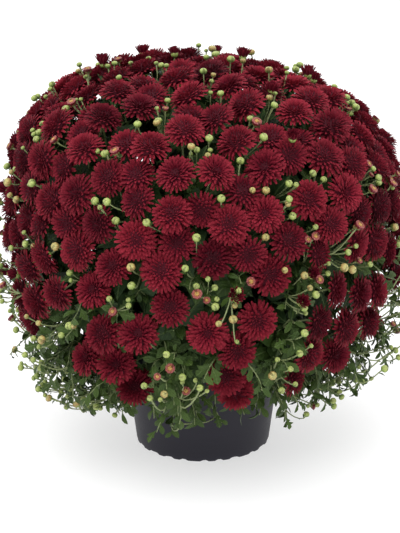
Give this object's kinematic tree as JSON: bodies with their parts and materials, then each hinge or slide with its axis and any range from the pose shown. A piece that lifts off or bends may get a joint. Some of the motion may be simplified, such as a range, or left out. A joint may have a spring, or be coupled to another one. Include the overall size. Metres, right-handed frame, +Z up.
{
  "type": "potted chrysanthemum",
  "caption": "Garden chrysanthemum: a dome of double red blooms on branching leafy stems, standing in soil in a tapered nursery pot.",
  "frame": {"origin": "centre of the pot's flat base, on the surface that it stands on", "axes": "+Z up along the pot's axis; -Y towards the viewer of the front, +X to the viewer's right"},
  "size_m": [0.5437, 0.5377, 0.5331],
  "materials": {
    "pot_plastic": "satin",
    "soil": "matte",
    "foliage": "satin",
    "petals": "matte"
  },
  "bodies": {
    "root": {"pot": "pot_plastic", "soil": "soil", "stem_01": "foliage", "stem_02": "foliage", "stem_03": "foliage", "stem_04": "foliage", "stem_05": "foliage", "stem_06": "foliage", "stem_07": "foliage", "stem_08": "foliage", "stem_09": "foliage", "stem_10": "foliage", "stem_11": "foliage", "stem_12": "foliage", "stem_13": "foliage", "stem_14": "foliage", "blooms_01": "petals", "blooms_02": "petals", "blooms_03": "petals", "blooms_04": "petals", "blooms_05": "petals", "blooms_06": "petals", "blooms_07": "petals", "blooms_08": "petals", "blooms_09": "petals", "blooms_10": "petals", "blooms_11": "petals", "blooms_12": "petals", "blooms_13": "petals", "blooms_14": "petals", "blooms_15": "petals", "blooms_16": "petals", "blooms_17": "petals", "blooms_18": "petals", "blooms_19": "petals", "blooms_20": "petals", "blooms_21": "petals", "blooms_22": "petals", "blooms_23": "petals", "blooms_24": "petals", "blooms_25": "petals", "blooms_26": "petals", "blooms_27": "petals", "blooms_28": "petals", "blooms_29": "petals", "blooms_30": "petals", "blooms_31": "petals", "blooms_32": "petals", "blooms_33": "petals", "blooms_34": "petals", "blooms_35": "petals", "blooms_36": "petals", "blooms_37": "petals", "blooms_38": "petals", "blooms_39": "petals", "blooms_40": "petals", "blooms_41": "petals", "blooms_42": "petals", "blooms_43": "petals", "blooms_44": "petals"}
  },
  "joints": []
}
